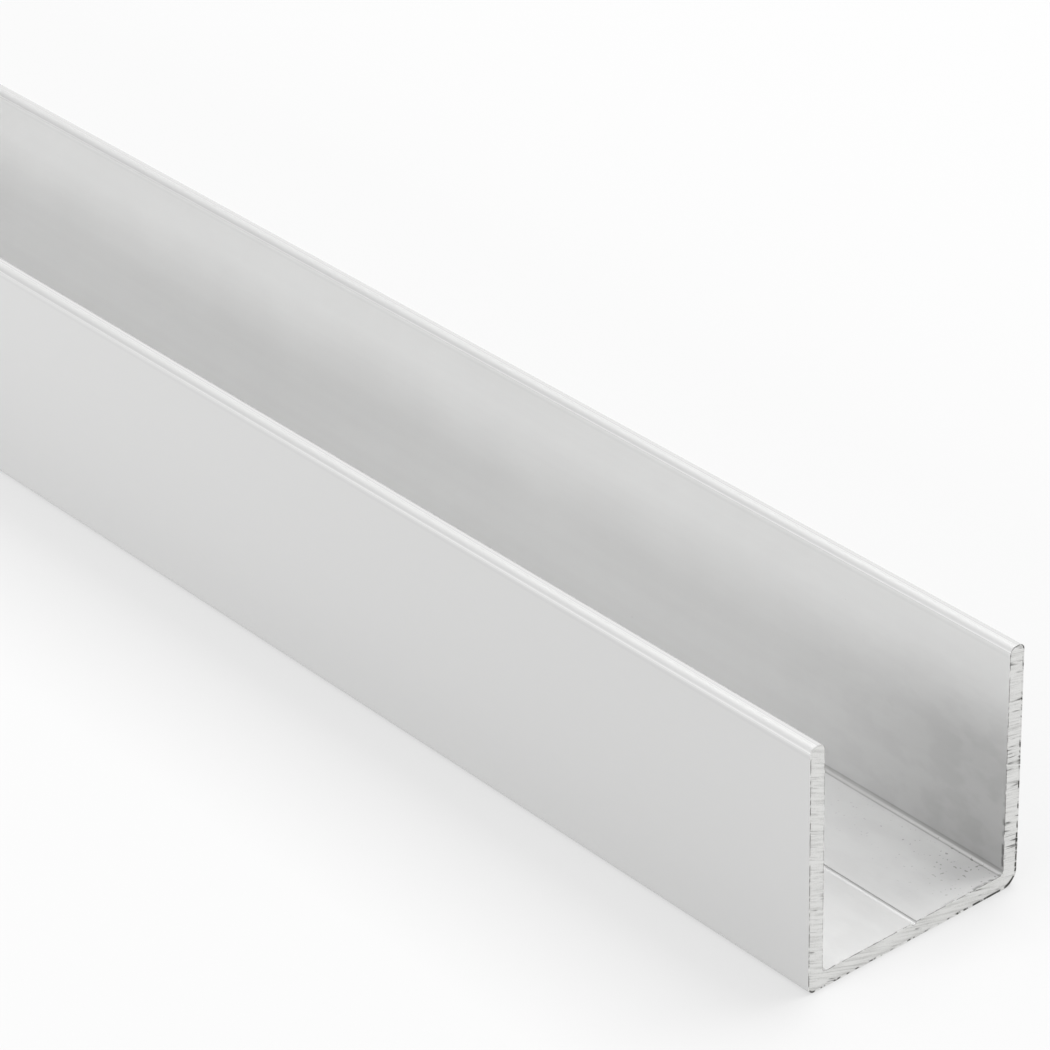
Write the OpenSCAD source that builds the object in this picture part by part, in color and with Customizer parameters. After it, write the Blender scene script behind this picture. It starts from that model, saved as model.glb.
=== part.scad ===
// Aluminium U-channel profile: one straight piece of extruded stock, sawn square at both ends.
// The channel lies on its web with the open side up and its length along X.
// The near leg is on the -Y side, and the origin is under the middle of the web.

/* [Stock] */
// Width over the outsides of the two legs
channel_w = 30; // [16:1:80]
// Height of the legs, from the underside of the web to the tips
leg_h = 30; // [10:1:80]
// Length of the piece from one saw cut to the other
length = 1000; // [100:10:6000]

/* [Walls] */
// Thickness of each leg
leg_t = 2; // [1:0.1:5]
// Thickness of the web
web_t = 2; // [1:0.1:5]

/* [Corners] */
// Outside radius between the web and the near leg
near_corner_r = 0.8; // [0.2:0.1:3]
// Outside radius between the web and the far leg, which is the rounder of the two
far_corner_r = 2; // [0.2:0.1:3]
// Fillet in both inside corners
inside_r = 0.5; // [0.2:0.1:3]
// Radius on the two long edges of each leg's tip
tip_r = 0.8; // [0.1:0.1:0.9]

/* [Centre line] */
// Width of the groove along the middle of the web's inside face
groove_w = 0.8; // [0.4:0.1:2]
// Depth of the groove, down to its round bottom
groove_d = 0.3; // [0.1:0.1:0.8]

/* [Hidden] */
$fn = 64;
// How far a cut runs past the metal it takes away
overshoot = 1;
// Flat that stays between the two radii of a tip, however thin the leg is
tip_flat = 0.2;
tip_edge_r = min(tip_r, (leg_t - tip_flat) / 2);
half_w = channel_w / 2;
inside_half_w = half_w - leg_t;
// Radius of the arc through both rims of the groove and its bottom
groove_r = (pow(groove_w / 2, 2) + pow(groove_d, 2)) / (2 * groove_d);
metal_color = [0.85, 0.85, 0.84];

// What a round of radius r takes off a square corner. The corner's point is at the origin,
// with the metal in the +X +Y quarter.
module corner_waste(r) {
    difference() {
        translate([-overshoot, -overshoot]) square(r + overshoot);
        translate([r, r]) circle(r);
    }
}

// The same waste at the two long edges of a leg's tip, for a leg that starts at x
module tip_waste(x) {
    translate([x, leg_h]) mirror([0, 1]) corner_waste(tip_edge_r);
    translate([x + leg_t, leg_h]) mirror([0, 1]) mirror([1, 0]) corner_waste(tip_edge_r);
}

// Space between the legs, open at the top and filleted where it meets the web
module channel_space() {
    difference() {
        translate([-inside_half_w, web_t]) square([2 * inside_half_w, leg_h - web_t + overshoot]);
        translate([-inside_half_w, web_t]) corner_waste(inside_r);
        translate([inside_half_w, web_t]) mirror([1, 0]) corner_waste(inside_r);
    }
}

// Round groove that marks the centre line for drilling. The rectangle keeps the circle's upper part
// off the legs where the groove is wide and shallow.
module centre_groove() {
    intersection() {
        translate([0, web_t - groove_d + groove_r]) circle(groove_r);
        translate([-groove_w, web_t - groove_d - overshoot]) square([2 * groove_w, groove_d + 2 * overshoot]);
    }
}

// Cross-section, with the width along X and the height along Y
module section() {
    difference() {
        translate([-half_w, 0]) square([channel_w, leg_h]);
        translate([-half_w, 0]) corner_waste(near_corner_r);
        translate([half_w, 0]) mirror([1, 0]) corner_waste(far_corner_r);
        tip_waste(-half_w);
        tip_waste(inside_half_w);
        channel_space();
        centre_groove();
    }
}

module u_channel() {
    color(metal_color)
        rotate([90, 0, 90])
            linear_extrude(height = length, center = true)
                section();
}

u_channel();
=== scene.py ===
import math
from types import SimpleNamespace

import bmesh
import bpy
from mathutils import Matrix, Vector, noise


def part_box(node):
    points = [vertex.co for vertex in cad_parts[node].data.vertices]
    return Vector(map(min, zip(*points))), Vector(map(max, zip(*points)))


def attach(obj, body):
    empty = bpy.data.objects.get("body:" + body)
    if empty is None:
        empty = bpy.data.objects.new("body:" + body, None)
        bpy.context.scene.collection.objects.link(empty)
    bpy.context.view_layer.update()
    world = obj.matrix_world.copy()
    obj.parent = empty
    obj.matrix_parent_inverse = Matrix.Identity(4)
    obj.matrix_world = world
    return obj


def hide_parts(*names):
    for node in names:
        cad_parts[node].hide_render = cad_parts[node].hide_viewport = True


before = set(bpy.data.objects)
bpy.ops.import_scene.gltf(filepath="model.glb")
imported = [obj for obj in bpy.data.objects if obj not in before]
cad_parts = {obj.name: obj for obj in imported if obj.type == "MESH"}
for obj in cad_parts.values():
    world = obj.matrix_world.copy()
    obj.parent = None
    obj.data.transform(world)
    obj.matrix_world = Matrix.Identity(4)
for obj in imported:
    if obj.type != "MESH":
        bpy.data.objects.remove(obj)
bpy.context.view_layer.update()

mm = 0.001
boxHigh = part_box("u_channel")[1]
endX = boxHigh.x / mm           # the sawn end that the camera sees
halfWidth = boxHigh.y / mm
legHeight = boxHigh.z / mm


# Channel: the extruded skin with both sawn ends, all sizes in mm

channel = dict(
    legThickness=2.0,
    webThickness=2.0,
    nearCornerRadius=0.8,       # outside corner on the camera's side
    farCornerRadius=2.0,
    insideRadius=0.5,
    tipRadius=0.8,
    grooveWidth=0.8,
    grooveDepth=0.3,
    gridPitch=0.12,             # mesh spacing along the wall on the sawn ends
    cornerSteps=34,
    grooveSteps=8,
    acrossSteps=22,             # mesh steps through the wall's thickness
    endLoops=(0.15, 0.5, 1.5),  # rings round the skin, behind each saw cut
    sharpAngle=32.0,            # degrees, past which an edge is shaded sharp
)

# The saw's relief on both ends. A rate is the number of changes in each mm along a mark or an edge.
sawCut = dict(
    bladeRadius=150.0,
    bladeTilt=18.0,             # degrees between the tooth marks and the web, at mid width
    toothPitch=0.45,
    toothDepth=0.010,
    toothRate=0.12,
    fineShare=0.5,              # finer marks between the teeth's own
    fineScale=2.7,
    fineRate=0.4,
    tearPitch=0.55,
    tearDepth=0.05,
    tearRate=0.35,
    tearStart=0.32,             # noise under this tears nothing
    lipHeight=0.04,             # rolled-over edge where the teeth left the metal
    lipWidth=0.09,
    lipDepth=0.10,              # crevice behind the lip
    lipInset=0.20,
    creviceWidth=0.08,
    lipRate=0.55,
    lipCover=0.4,               # a higher value leaves fewer breaks in the lip
    burr=0.07,                  # ragged edge on the inside
    burrRate=1.7,
    burrCover=0.1,
    setBack=0.02,               # of the whole cut, so that hardly any relief passes the length
    seed=20.0,                  # another value puts the marks elsewhere
)

# Legs, web and groove as the finishes below need them
legFace = halfWidth - channel["legThickness"]
legMiddle = halfWidth - channel["legThickness"] / 2
webFace = channel["webThickness"]
grooveRim = channel["grooveWidth"] / 2


def countFor(span):
    return max(1, round(span / channel["gridPitch"]))


def tipHeight(depth):
    radius = channel["tipRadius"]
    edge = min(depth, channel["legThickness"] - depth)
    if edge >= radius:
        return legHeight
    return legHeight - radius + math.sqrt(max(0.0, radius ** 2 - (radius - edge) ** 2))


# How far the outside lies from the centre of the inside fillet, along a ray at an angle below
# the horizontal. It meets the leg's face, the underside, or the round between them.
def cornerReach(angle, across, down, radius):
    rayOut, rayDown = math.cos(angle), math.sin(angle)
    centreOut, centreDown = across - radius, down - radius
    if across * rayDown <= centreDown * rayOut:
        return across / rayOut
    if down * rayOut <= centreOut * rayDown:
        return down / rayDown
    along = centreOut * rayOut + centreDown * rayDown
    return along + math.sqrt(along ** 2 - centreOut ** 2 - centreDown ** 2 + radius ** 2)


# Top of the web, with the round-bottomed groove along its middle
def webTop(y):
    deep = channel["grooveDepth"]
    radius = (grooveRim ** 2 + deep ** 2) / (2 * deep)
    if abs(y) >= grooveRim:
        return webFace
    return webFace + radius - deep - math.sqrt(max(0.0, radius ** 2 - y ** 2))


# The wall as a row of short lines from its outside to its inside, from the near tip round to the far tip.
# Each line is a function of the depth below the outside.
def wallLines():
    legT, fillet = channel["legThickness"], channel["insideRadius"]
    shoulder = webFace + fillet
    filletY = legFace - fillet
    legSteps = countFor(legHeight - shoulder)

    def legLine(side, share):
        def place(depth):
            return side * (halfWidth - depth), shoulder + share * (tipHeight(depth) - shoulder)
        return place

    def cornerLine(side, radius, angle):
        reach = cornerReach(angle, legT + fillet, shoulder, radius)

        def place(depth):
            ray = reach + (fillet - reach) * depth / legT
            return side * (filletY + ray * math.cos(angle)), shoulder - ray * math.sin(angle)
        return place

    def webLine(y):
        return lambda depth: (y, webTop(y) * depth / legT)

    quarter = [math.pi / 2 * i / channel["cornerSteps"] for i in range(1, channel["cornerSteps"])]
    lines = [legLine(-1, 1 - i / legSteps) for i in range(legSteps + 1)]
    lines += [cornerLine(-1, channel["nearCornerRadius"], angle) for angle in quarter]
    stops = [-filletY, -grooveRim, 0.0, grooveRim, filletY]
    for low, high in zip(stops, stops[1:]):
        count = max(channel["grooveSteps"], countFor(high - low))
        lines += [webLine(low + (high - low) * i / count) for i in range(count)]
    lines.append(webLine(filletY))
    lines += [cornerLine(1, channel["farCornerRadius"], angle) for angle in reversed(quarter)]
    lines += [legLine(1, i / legSteps) for i in range(legSteps + 1)]
    return lines


# Place on the cut as the blade saw it: distance from its axle, and the way along the tooth marks
def bladePlace(y, z):
    tilt = math.radians(sawCut["bladeTilt"])
    towards = Vector((math.sin(tilt), math.cos(tilt)))
    axle = Vector((0, legHeight / 2)) + towards * sawCut["bladeRadius"]
    arm = Vector((y, z)) - axle
    return arm.length, math.atan2(arm.x, -arm.y) * sawCut["bladeRadius"]


# Height of the saw's relief over the cut
def sawRelief(away, swing, depth, run, seed):
    tooth = away / sawCut["toothPitch"]
    teeth = noise.noise(Vector((tooth, swing * sawCut["toothRate"], seed)))
    fine = noise.noise(Vector((tooth * sawCut["fineScale"], swing * sawCut["fineRate"], seed + 5)))
    tear = noise.noise(Vector((away / sawCut["tearPitch"], swing * sawCut["tearRate"], seed + 9)))
    tear = max(0.0, tear - sawCut["tearStart"]) / (1 - sawCut["tearStart"])
    height = sawCut["toothDepth"] * (teeth + sawCut["fineShare"] * fine) - sawCut["tearDepth"] * tear
    broken = max(0.0, sawCut["lipCover"] + noise.noise(Vector((run * sawCut["lipRate"], seed, 3.0))))
    lip = sawCut["lipHeight"] * math.exp(-(depth / sawCut["lipWidth"]) ** 2)
    behind = (depth - sawCut["lipInset"]) / sawCut["creviceWidth"]
    crevice = sawCut["lipDepth"] * math.exp(-behind ** 2)
    return height + (lip - crevice) * broken


# Both ends get the saw's relief, and their inside edge its burr
def roughenEnds(bm, wallLayer, bladeLayer, inwardLayer):
    tolerance = 0.001
    for vert in bm.verts:
        if abs(vert.co.x) < endX - channel["endLoops"][0] / 2:
            continue
        side = math.copysign(1.0, vert.co.x)
        run, depth, _ = vert[wallLayer]
        away, swing, _ = vert[bladeLayer]
        relief = sawRelief(away, swing, depth, run, sawCut["seed"] + side)
        vert.co.x += side * (relief - sawCut["setBack"])
        if depth > channel["legThickness"] - tolerance:
            ragged = noise.noise(Vector((run * sawCut["burrRate"], side, 7.0))) + sawCut["burrCover"]
            vert.co += vert[inwardLayer] * sawCut["burr"] * max(0.0, ragged)


# A grid bent into the section, pulled out to the full length and then cut up near its ends
def makeChannel():
    legT = channel["legThickness"]
    lines = wallLines()
    lastLine, lastStep = len(lines) - 1, channel["acrossSteps"]
    bm = bmesh.new()
    bmesh.ops.create_grid(bm, x_segments=lastLine, y_segments=lastStep, size=1.0)
    wallLayer = bm.verts.layers.float_vector.new("wallPlace")       # run, depth, distance from the tip
    bladeLayer = bm.verts.layers.float_vector.new("bladePlace")
    inwardLayer = bm.verts.layers.float_vector.new("inward")
    for vert in bm.verts:
        i = round((vert.co.x + 1) / 2 * lastLine)
        j = round((vert.co.y + 1) / 2 * lastStep)
        depth = legT * (1 - math.cos(math.pi * j / lastStep)) / 2   # closer near both faces
        y, z = lines[i](depth)
        inward = Vector(lines[i](legT)) - Vector(lines[i](0.0))
        vert.co = (-endX, y, z)
        vert[wallLayer] = (i * channel["gridPitch"], depth, min(i, lastLine - i) * channel["gridPitch"])
        vert[bladeLayer] = (*bladePlace(y, z), 0.0)
        vert[inwardLayer] = (0.0, *inward.normalized())
    pulled = bmesh.ops.extrude_face_region(bm, geom=bm.faces[:])["geom"]
    frontVerts = [item for item in pulled if isinstance(item, bmesh.types.BMVert)]
    bmesh.ops.translate(bm, verts=frontVerts, vec=(2 * endX, 0, 0))
    for loop in channel["endLoops"]:
        for side in (-1, 1):
            geom = bm.verts[:] + bm.edges[:] + bm.faces[:]
            bmesh.ops.bisect_plane(bm, geom=geom, plane_co=(side * (endX - loop), 0, 0), plane_no=(1, 0, 0))
    bmesh.ops.recalc_face_normals(bm, faces=bm.faces[:])
    for face in bm.faces:
        face.smooth = True
        face.material_index = 1 if abs(face.normal.x) > 0.5 else 0      # sawn ends, skin
    roughenEnds(bm, wallLayer, bladeLayer, inwardLayer)
    bm.verts.layers.float_vector.remove(inwardLayer)
    bmesh.ops.scale(bm, vec=(mm, mm, mm), verts=bm.verts[:])
    mesh = bpy.data.meshes.new("channelStock")
    bm.to_mesh(mesh)
    bm.free()
    mesh.set_sharp_from_angle(angle=math.radians(channel["sharpAngle"]))
    piece = bpy.data.objects.new("channel_stock", mesh)
    bpy.context.scene.collection.objects.link(piece)
    print("channel made,", len(mesh.polygons), "faces")
    return piece


# Shader nodes as Python values

class Value:
    def __init__(self, tree, socket):
        self.tree = tree
        self.socket = socket

    def math(self, operation, first, second=0.0):
        node = self.tree.nodes.new("ShaderNodeMath")
        node.operation = operation
        for slot, given in zip(node.inputs, (first, second)):
            if isinstance(given, Value):
                self.tree.links.new(given.socket, slot)
            else:
                slot.default_value = given
        return Value(self.tree, node.outputs[0])

    def __add__(self, other):
        return self.math("ADD", self, other)

    def __radd__(self, other):
        return self.math("ADD", other, self)

    def __sub__(self, other):
        return self.math("SUBTRACT", self, other)

    def __rsub__(self, other):
        return self.math("SUBTRACT", other, self)

    def __mul__(self, other):
        return self.math("MULTIPLY", self, other)

    def __rmul__(self, other):
        return self.math("MULTIPLY", other, self)

    def __abs__(self):
        return self.math("ABSOLUTE", self)


class Finish:
    def __init__(self, name):
        self.material = bpy.data.materials.new(name)
        self.material.use_nodes = True
        self.tree = self.material.node_tree
        self.tree.nodes.clear()

    # One node: its settings first, then its sockets by name or number; the named output comes back
    def node(self, kind, settings=None, sockets=None, output=0):
        made = self.tree.nodes.new("ShaderNode" + kind)
        for key, given in (settings or {}).items():
            setattr(made, key, given)
        for key, given in (sockets or {}).items():
            if isinstance(given, Value):
                self.tree.links.new(given.socket, made.inputs[key])
            else:
                made.inputs[key].default_value = given
        return Value(self.tree, made.outputs[output]) if made.outputs else None

    def place(self, scale):
        return self.scaled(self.node("TexCoord", output="Object"), scale)

    def attribute(self, name):
        return self.node("Attribute", {"attribute_name": name}, None, "Vector")

    def scaled(self, vector, scale):
        return self.node("Mapping", {"vector_type": "POINT"}, {"Vector": vector, "Scale": scale})

    def axis(self, vector, name):
        return self.node("SeparateXYZ", None, {"Vector": vector}, name)

    def noise(self, vector, detail):
        return self.node("TexNoise", None, {"Vector": vector, "Scale": 1.0, "Detail": detail}, "Fac")

    # from 0 at the low limit to 1 at the high one
    def between(self, given, low, high):
        ranged = {"Value": given, "From Min": low, "From Max": high}
        return self.node("MapRange", {"interpolation_type": "SMOOTHSTEP"}, ranged)

    # 1 between two limits, with soft edges
    def within(self, given, low, high, soft):
        rise = self.between(given, low - soft, low + soft)
        return rise * (1.0 - self.between(given, high - soft, high + soft))

    def tint(self, share, first, second):
        return self.node("Mix", {"data_type": "RGBA"}, {0: share, 6: first, 7: second}, 2)

    def surface(self, sockets):
        shader = self.node("BsdfPrincipled", None, sockets)
        self.node("OutputMaterial", None, {"Surface": shader})
        return self.material


# Skin as extruded: its colours, how far painted shade, painted light, specks and mottling pull it
# towards other colours, and the scale of each pattern in changes per metre along X, Y and Z
satinSkin = dict(
    pale=(0.662, 0.662, 0.660, 1.0),
    dull=(0.634, 0.634, 0.632, 1.0),
    # painted shade on the outside faces of the legs
    outsideShade=(0.55, 0.55, 0.548, 1.0),
    paintedLight=(0.75, 0.75, 0.748, 1.0),     # painted light: the far half of the web lifted where the far leg shades it, and the painted highlight line on the tips
    # painted shade in the inside fillets
    fillet=(0.50, 0.50, 0.495, 1.0),
    # painted shade on the tips, toning down their highlight
    tip=(0.44, 0.44, 0.437, 1.0),
    # painted shade on the near-facing shoulders of the tips
    shoulder=(0.375, 0.375, 0.373, 1.0),
    # colour of the painted shade
    paintedShade=(0.28, 0.28, 0.275, 1.0),
    # colour of the specks and grit, and of the painted shade and painted shadow line near the cuts
    speckAndShade=(0.16, 0.16, 0.155, 1.0),
    # painted shade in the groove
    grooveFlankShade=0.36,
    grooveBedShade=0.32,
    # painted shade along the edges of the fillets
    filletFootShade=0.32,
    filletHeadShade=0.38,
    # painted shadow edge across the inside walls
    shadowWaves=0.05,
    # painted shade over the near half of the web
    webNearShade=0.26,
    # painted shade on the outside of the legs towards each cut
    outsideEndShade=0.14,
    endFadeLength=160.0,           # mm behind each saw cut over which the outside of the legs gets painted shade, and the tips' painted highlight line fades
    insideEndLength=50.0,          # the same on the inside, where the lower walls and the web get painted shade, mottling and grit near the cut
    gritLength=8.0,             # and of grit in the web's far corner
    # painted shade on the lower walls and the web towards the cuts
    wallEndShade=0.42,
    wallMottle=0.07,
    webMottle=0.05,
    webEndShade=0.05,
    # painted shadow line of the burr along the cuts
    burrShadowLine=0.7,
    specks=0.6,
    edgeHighlight=0.34,
    edgeShade=0.08,
    metallic=0.4,
    roughness=0.25,
    shoulderRoughness=0.25,     # added on the tips
    dieLineScale=(2.0, 900.0, 900.0),
    cloudScale=(25.0, 60.0, 60.0),
    waveScale=(70.0, 70.0, 45.0),
    mottleScale=(220.0, 350.0, 350.0),
    breakScale=(900.0, 900.0, 900.0),
    dotScale=(1700.0, 1700.0, 1700.0),
    dustScale=(70.0, 90.0, 90.0),
    gritScale=(2600.0, 2600.0, 2600.0),
)


# Where the skin is inside, outside or near a cut
def skinPlaces(finish):
    spot = finish.place((1 / mm, 1 / mm, 1 / mm))
    at = SimpleNamespace()
    at.x, at.y, at.z = (finish.axis(spot, name) for name in "XYZ")
    at.side = abs(at.y)
    at.onWall = finish.within(at.side, legFace - 0.1, legFace + 0.1, 0.05)
    at.onWall = at.onWall * finish.between(at.z, webFace / 2, webFace)
    at.onWeb = finish.within(at.z, webFace - 0.1, webFace + 0.1, 0.05)
    at.onWeb = at.onWeb * (1.0 - finish.between(at.side, legFace, legMiddle))
    at.onOutside = finish.between(at.side, legMiddle - 0.3, legMiddle + 0.1)
    at.nearEnd = finish.between(abs(at.x), endX - satinSkin["insideEndLength"], endX)
    gritLength = satinSkin["gritLength"]
    at.atCut = finish.between(abs(at.x), endX - gritLength, endX - gritLength * 0.4)
    at.farCorner = finish.between(at.y, 0.0, legFace)
    at.farCorner = at.farCorner * (1.0 - finish.between(at.z, legHeight * 0.1, legHeight * 0.5))
    return at


# Painted shade in the groove, along the inside fillets, in a wavy band across the inside walls, on the near
# half of the web and on the outside of the legs towards the cuts
def paintedSeamShade(finish, at):
    fillet, grooveDepth = channel["insideRadius"], channel["grooveDepth"]
    # painted shade: thin dark lines where the fillets meet the web and the walls
    filletFoot = finish.within(at.side, legFace - fillet * 1.2, legFace - fillet * 0.9, 0.04) * at.onWeb
    filletHead = finish.within(at.z, webFace + fillet * 0.9, webFace + fillet * 1.2, 0.04) * at.onWall
    # painted shade in the groove: its far flank darker, and its bed and near flank darker to tone down
    # their highlight
    grooveFlank = finish.within(at.y, grooveRim * 0.6, grooveRim * 1.05, 0.05)
    grooveFlank = grooveFlank * finish.within(at.z, webFace - grooveDepth, webFace + 0.02, 0.05)
    grooveBed = finish.within(at.y, -grooveRim * 1.05, grooveRim * 0.5, 0.05)
    grooveBed = grooveBed * finish.within(at.z, webFace - grooveDepth * 1.2, webFace - 0.03, 0.03)
    # painted shade: a wavy band across the inside walls at mid height, the soft edge of the near leg's
    # shadow
    shadowWaves = finish.between(finish.noise(finish.place(satinSkin["waveScale"]), 1.0), 0.35, 0.65)
    shadowWaves = shadowWaves * at.onWall * finish.within(at.z, legHeight * 0.4, legHeight * 0.8, legHeight * 0.2)
    # painted shade: the near half of the web darker
    nearWebShade = at.onWeb * (1.0 - finish.between(at.y, 0.0, legFace))
    # painted shade: the outside of the legs darker towards each cut, where the light falls off
    outsideTowardsCut = at.onOutside * finish.between(abs(at.x), endX - satinSkin["endFadeLength"], endX)
    share = grooveFlank * satinSkin["grooveFlankShade"] + grooveBed * satinSkin["grooveBedShade"]
    share = share + filletFoot * satinSkin["filletFootShade"] + filletHead * satinSkin["filletHeadShade"]
    share = share + shadowWaves * satinSkin["shadowWaves"] + nearWebShade * satinSkin["webNearShade"]
    return share + outsideTowardsCut * satinSkin["outsideEndShade"]


# The half of each tip that faces the near side
def nearShoulders(finish, at):
    flat = channel["legThickness"] / 2 - channel["tipRadius"]
    nearSide = 1.0 - finish.between(at.y, -legMiddle - flat, -legMiddle)
    return nearSide + finish.within(at.y, legFace - 0.5, legMiddle - flat / 2, flat / 2)


# Painted shade on the lower walls and the web towards the cuts, with mottling there, and a painted shadow
# line of the burr along the saw cut
def endShadeAndMottle(finish, at, clouds):
    mottle = finish.between(finish.noise(finish.place(satinSkin["mottleScale"]), 3.0), 0.42, 0.62)
    lowWall = at.onWall * (1.0 - finish.between(at.z, legHeight * 0.42, legHeight * 1.05))
    # painted shade: the lower walls darker towards each cut, and the web too
    endShade = at.nearEnd * at.nearEnd * lowWall * (clouds * 0.5 + 0.75) * satinSkin["wallEndShade"]
    mottled = (lowWall * satinSkin["wallMottle"] + at.onWeb * satinSkin["webMottle"]) * mottle
    endShade = endShade + at.nearEnd * mottled + at.nearEnd * at.onWeb * satinSkin["webEndShade"]
    breaks = finish.between(finish.noise(finish.place(satinSkin["breakScale"]), 4.0), 0.42, 0.56)
    # painted shadow: a broken dark line on the inside skin along the cut, the shadow of the burr
    burrShadowLine = finish.between(abs(at.x), endX - 0.45, endX - 0.15)
    burrShadowLine = burrShadowLine * (at.onWeb + at.onWall) * at.farCorner * breaks
    return endShade + burrShadowLine * satinSkin["burrShadowLine"]


# A few specks inside, and grit in the far corner near the cuts
def darkSpecks(finish, at):
    dots = finish.noise(finish.place(satinSkin["dotScale"]), 1.0)
    dusty = finish.noise(finish.place(satinSkin["dustScale"]), 1.0)
    specks = finish.between(dots, 0.80, 0.84) * finish.between(dusty, 0.5, 0.62)
    gritty = at.farCorner * at.nearEnd
    grit = finish.noise(finish.place(satinSkin["gritScale"]), 0.0) + gritty * 0.04
    grit = grit + at.atCut * at.farCorner * 0.06
    specks = specks + finish.between(grit, 0.79, 0.83) * at.onWeb * gritty * at.nearEnd
    inside = 1.0 - finish.between(at.side, legFace + 0.1, legFace + 0.3)
    return specks * inside * satinSkin["specks"]


def satinAluminium():
    finish = Finish("satinAluminium")
    at = skinPlaces(finish)
    fillet, tipRadius = channel["insideRadius"], channel["tipRadius"]
    dieLines = finish.noise(finish.place(satinSkin["dieLineScale"]), 2.0)
    clouds = finish.noise(finish.place(satinSkin["cloudScale"]), 2.0)
    share = finish.between(dieLines * 0.3 + clouds * 0.7, 0.3, 0.7)
    colour = finish.tint(share, satinSkin["pale"], satinSkin["dull"])
    # painted light: the web lightened from its middle towards the far leg, lifting the shade that leg casts
    paintedLight = at.onWeb * finish.between(at.y, -grooveRim, legFace) * (1.0 - at.atCut)
    colour = finish.tint(paintedLight, colour, satinSkin["paintedLight"])
    # painted shade: the outside of the legs a darker copy of the skin, for how the light falls there
    colour = finish.tint(at.onOutside * 0.9, colour, satinSkin["outsideShade"])
    # painted shade: the inside fillets darker than the walls and web they join
    filletShade = finish.within(at.side, legFace - fillet, legFace + 0.1, 0.04)
    filletShade = filletShade * finish.within(at.z, webFace - 0.1, webFace + fillet, 0.04)
    colour = finish.tint(filletShade, colour, satinSkin["fillet"])
    # painted shade in the groove, along the fillets, across the walls, on the near half of the web and on
    # the outside of the legs
    colour = finish.tint(paintedSeamShade(finish, at), colour, satinSkin["paintedShade"])

    # the tips are painted darker, painted shade that tones down their highlight, most of all on the
    # shoulders that face the near side
    down = legHeight - at.z
    tip = 1.0 - finish.between(down, tipRadius * 0.4, tipRadius * 0.9)
    colour = finish.tint(tip, colour, satinSkin["tip"])
    facing = nearShoulders(finish, at)
    shoulder = (1.0 - finish.between(down, tipRadius * 0.5, tipRadius * 0.8)) * facing
    colour = finish.tint(shoulder, colour, satinSkin["shoulder"])
    # painted highlight: a bright line along the shoulders, weaker away from the cuts
    edgeHighlight = finish.within(down, tipRadius * 0.55, tipRadius * 0.95, 0.08) * facing
    highlightNearCut = finish.between(abs(at.x), endX - satinSkin["endFadeLength"], endX - satinSkin["insideEndLength"])
    edgeHighlight = edgeHighlight * (highlightNearCut * 0.5 + 0.5) * satinSkin["edgeHighlight"]
    colour = finish.tint(edgeHighlight, colour, satinSkin["paintedLight"])
    edgeShade = finish.within(down, tipRadius * 1.2, tipRadius * 1.6, 0.1) * facing
    colour = finish.tint(edgeShade * satinSkin["edgeShade"], colour, satinSkin["paintedShade"])

    # painted shade near the cuts and the burr's painted shadow line, in the colour of the specks
    colour = finish.tint(endShadeAndMottle(finish, at, clouds), colour, satinSkin["speckAndShade"])
    colour = finish.tint(darkSpecks(finish, at), colour, satinSkin["speckAndShade"])
    roughness = satinSkin["roughness"] + (clouds - 0.5) * 0.03 + shoulder * satinSkin["shoulderRoughness"]
    bump = finish.node("Bump", None, {"Height": dieLines, "Strength": 0.02, "Distance": 0.00002})
    return finish.surface({
        "Base Color": colour, "Normal": bump,
        "Metallic": satinSkin["metallic"], "Roughness": roughness})


# Cut metal: its colours, how far grime and painted shadow pull it towards the darkest, and the scale of
# each pattern in changes per mm, out from the blade's axle and then along the marks, or along and through
# the wall
sawnMetal = dict(
    pale=(0.73, 0.73, 0.717, 1.0),
    dull=(0.56, 0.56, 0.545, 1.0),
    # colour of the grime and of the painted shadow lines
    grimeAndShade=(0.055, 0.054, 0.050, 1.0),
    tears=0.8,
    hairs=0.25,
    # painted shadow along the burr and its crevice
    edges=0.75,
    metallic=0.4,
    roughness=0.4,
    toothScale=(3.4, 0.25, 1.0),
    grainScale=(9.0, 4.0, 1.0),
    tearScale=(2.4, 0.20, 1.0),
    hairScale=(5.5, 0.15, 1.0),
    tornScale=(0.35, 0.40, 0.0),
    rimScale=(0.8, 0.5, 0.0),
    edgeScale=(1.3, 1.3, 0.0),
)


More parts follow.
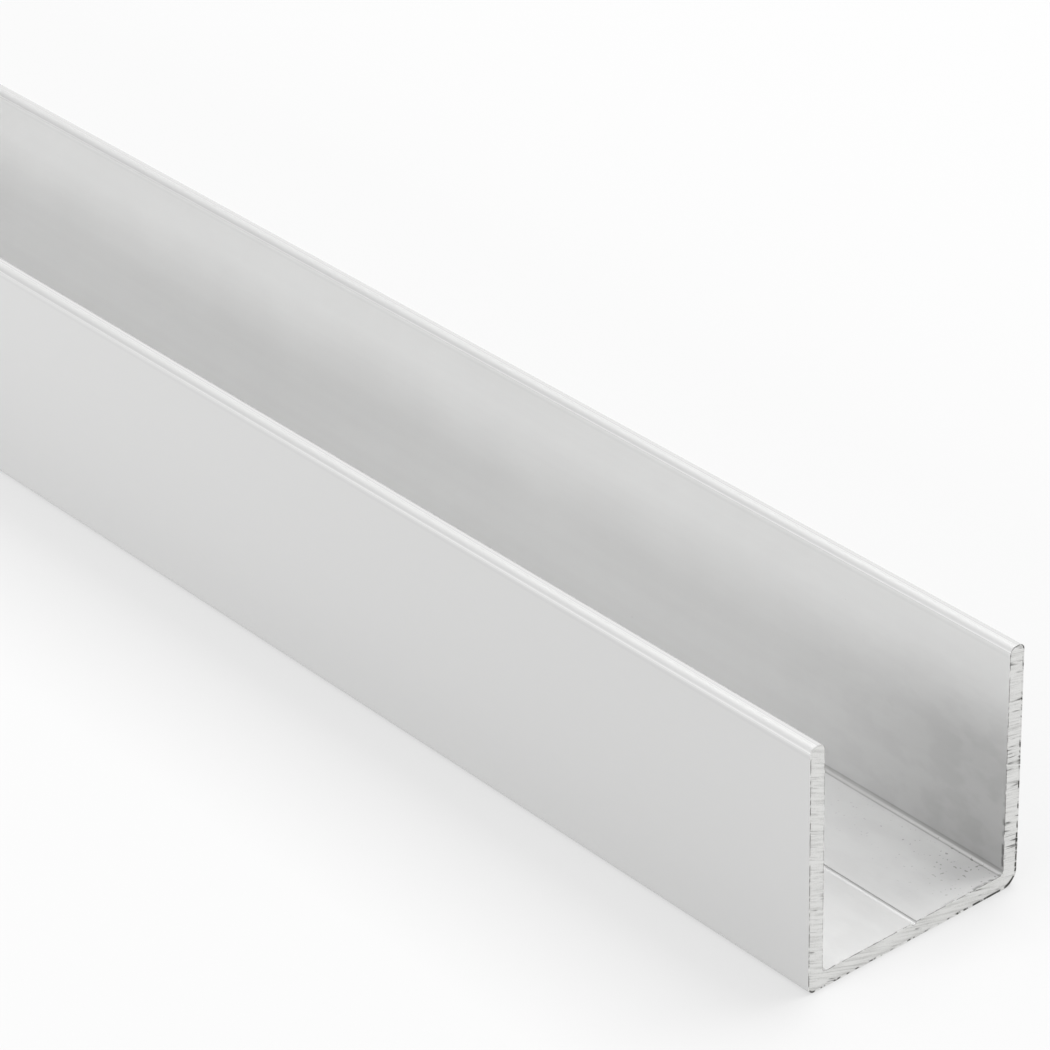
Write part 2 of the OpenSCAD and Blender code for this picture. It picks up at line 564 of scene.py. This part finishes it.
# Tooth marks along the blade's path, torn streaks across the wall, and broken dark edges that are painted
# shadow of the burr and its crevice
def sawnAluminium():
    finish = Finish("sawnAluminium")
    legT = channel["legThickness"]
    wall, blade = finish.attribute("wallPlace"), finish.attribute("bladePlace")
    depth, fromTip = finish.axis(wall, "Y"), finish.axis(wall, "Z")
    spot = finish.place((1 / mm, 1 / mm, 1 / mm))
    y, z = finish.axis(spot, "Y"), finish.axis(spot, "Z")

    def pattern(vector, name, detail):
        return finish.noise(finish.scaled(vector, sawnMetal[name]), detail)

    teeth = pattern(blade, "toothScale", 3.0)
    share = finish.between(teeth * 0.7 + pattern(blade, "grainScale", 2.0) * 0.3, 0.42, 0.68)
    colour = finish.tint(share, sawnMetal["pale"], sawnMetal["dull"])

    onLegs = finish.between(z, webFace, webFace * 2)
    nearLeg = 1.0 - finish.between(y, legT / 2 - halfWidth, legT * 1.5 - halfWidth)
    farCorner = finish.between(y, halfWidth * 0.2, halfWidth * 0.73)
    farCorner = farCorner * (1.0 - finish.between(z, webFace * 1.5, webFace * 5))
    tears = pattern(blade, "tearScale", 2.0) + onLegs * 0.07 - nearLeg * 0.05 + farCorner * 0.03
    torn = finish.between(pattern(wall, "tornScale", 1.0), 0.42, 0.58)
    tears = finish.between(tears, 0.63, 0.71) * torn
    hairs = finish.between(pattern(blade, "hairScale", 1.0), 0.60, 0.70)
    outward = 1.0 - nearLeg * finish.between(depth, legT * 0.35, legT * 0.75)
    streaks = (tears * sawnMetal["tears"] + hairs * sawnMetal["hairs"]) * outward

    # painted shadow: broken dark lines along the outer rim, the inside edge and the tips, the shadow of the
    # burr and its crevice, with some grime in the far corner
    rim = finish.between(depth, 0.02, 0.06) * (1.0 - finish.between(depth - farCorner * 0.1, 0.12, 0.22))
    rimBreaks = pattern(wall, "rimScale", 6.0) + farCorner * 0.10 + nearLeg * 0.08
    inside = finish.between(depth, legT - 0.10, legT - 0.05)
    tipEdge = 1.0 - finish.between(fromTip, 0.08, 0.20)
    edgeBreaks = finish.between(pattern(wall, "edgeScale", 5.0), 0.38, 0.52)
    edges = (inside + tipEdge) * edgeBreaks * sawnMetal["edges"] * (1.0 - nearLeg * 0.8)
    edges = edges + rim * finish.between(rimBreaks, 0.51, 0.60)
    grimeAndShade = finish.node("Clamp", None, {"Value": streaks + edges})
    colour = finish.tint(grimeAndShade, colour, sawnMetal["grimeAndShade"])
    bump = finish.node("Bump", None, {"Height": teeth, "Strength": 0.25, "Distance": 0.00004})
    return finish.surface({
        "Base Color": colour, "Normal": bump,
        "Metallic": sawnMetal["metallic"], "Roughness": sawnMetal["roughness"]})


# Floor, light and camera

studio = dict(
    floorColour=(0.15, 0.15, 0.15, 1.0),
    floorSide=120.0,            # m
    floorGlow=0.56,             # light from under the table's top, which keeps the shadows pale
    worldStrength=0.8,
    boxDistance=2500.0,         # mm from the softboxes to the point they face
    aimBehindCut=60.0,          # mm from that point to the sawn end
)

# Direction of each softbox in degrees, 0 for the near leg's side and 90 for the sawn end; sides in mm
softboxes = dict(
    front=dict(azimuth=345.0, elevation=20.0, side=750.0, watts=24.5),
    high=dict(azimuth=0.0, elevation=55.0, side=1500.0, watts=17.0),
    back=dict(azimuth=180.0, elevation=65.0, side=1500.0, watts=75.0),
    top=dict(azimuth=270.0, elevation=78.0, side=1500.0, watts=26.0),
)


def direction(azimuth, elevation):
    turn, rise = math.radians(azimuth), math.radians(elevation)
    return Vector((math.sin(turn) * math.cos(rise), -math.cos(turn) * math.cos(rise), math.sin(rise)))


def makeStudio():
    bm = bmesh.new()
    bmesh.ops.create_grid(bm, x_segments=1, y_segments=1, size=studio["floorSide"] / 2)
    mesh = bpy.data.meshes.new("studioFloor")
    bm.to_mesh(mesh)
    bm.free()
    floor = bpy.data.objects.new("studio_floor", mesh)
    bpy.context.scene.collection.objects.link(floor)
    paint = Finish("floorPaint")
    mesh.materials.append(paint.surface({
        "Base Color": studio["floorColour"], "Roughness": 0.9,
        "Emission Color": (1.0, 1.0, 1.0, 1.0), "Emission Strength": studio["floorGlow"]}))
    world = bpy.data.worlds.new("studioWorld")
    bpy.context.scene.world = world
    world.use_nodes = True
    background = world.node_tree.nodes["Background"]
    background.inputs["Color"].default_value = (1.0, 1.0, 1.0, 1.0)
    background.inputs["Strength"].default_value = studio["worldStrength"]
    target = Vector((endX - studio["aimBehindCut"], 0, legHeight / 2)) * mm
    for name, box in softboxes.items():
        lamp = bpy.data.lights.new(name + "Softbox", "AREA")
        lamp.size = box["side"] * mm
        lamp.energy = box["watts"]
        towards = direction(box["azimuth"], box["elevation"])
        holder = bpy.data.objects.new(name + "Softbox", lamp)
        holder.location = target + towards * studio["boxDistance"] * mm
        holder.rotation_euler = (-towards).to_track_quat("-Z", "Y").to_euler()
        holder.visible_camera = False
        bpy.context.scene.collection.objects.link(holder)
    bpy.context.scene.view_settings.view_transform = "Standard"
    print("studio set")


# Where the photo was taken from: place in mm from the foot of the sawn end, angles in degrees
viewpoint = dict(
    place=(280.44, -280.11, 282.74),
    azimuth=50.711,
    elevation=30.430,
    roll=-1.550,
    lens=159.52,
)


def makeCamera():
    back = direction(viewpoint["azimuth"], viewpoint["elevation"])
    right = direction(viewpoint["azimuth"] + 90, 0.0)
    turn = Matrix((right, back.cross(right), back)).transposed()
    turn = turn @ Matrix.Rotation(math.radians(viewpoint["roll"]), 3, "Z")
    data = bpy.data.cameras.new("photoCamera")
    data.sensor_width = 36.0
    data.lens = viewpoint["lens"]
    data.clip_start, data.clip_end = 0.01, 200.0
    camera = bpy.data.objects.new("photoCamera", data)
    spot = (Vector((endX, 0, 0)) + Vector(viewpoint["place"])) * mm
    camera.matrix_world = Matrix.Translation(spot) @ turn.to_4x4()
    bpy.context.scene.collection.objects.link(camera)
    bpy.context.scene.camera = camera
    print("camera set")


makeCamera()
stock = makeChannel()
stock.data.materials.append(satinAluminium())
stock.data.materials.append(sawnAluminium())
print("finishes set")
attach(stock, "root")
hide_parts("u_channel")
makeStudio()
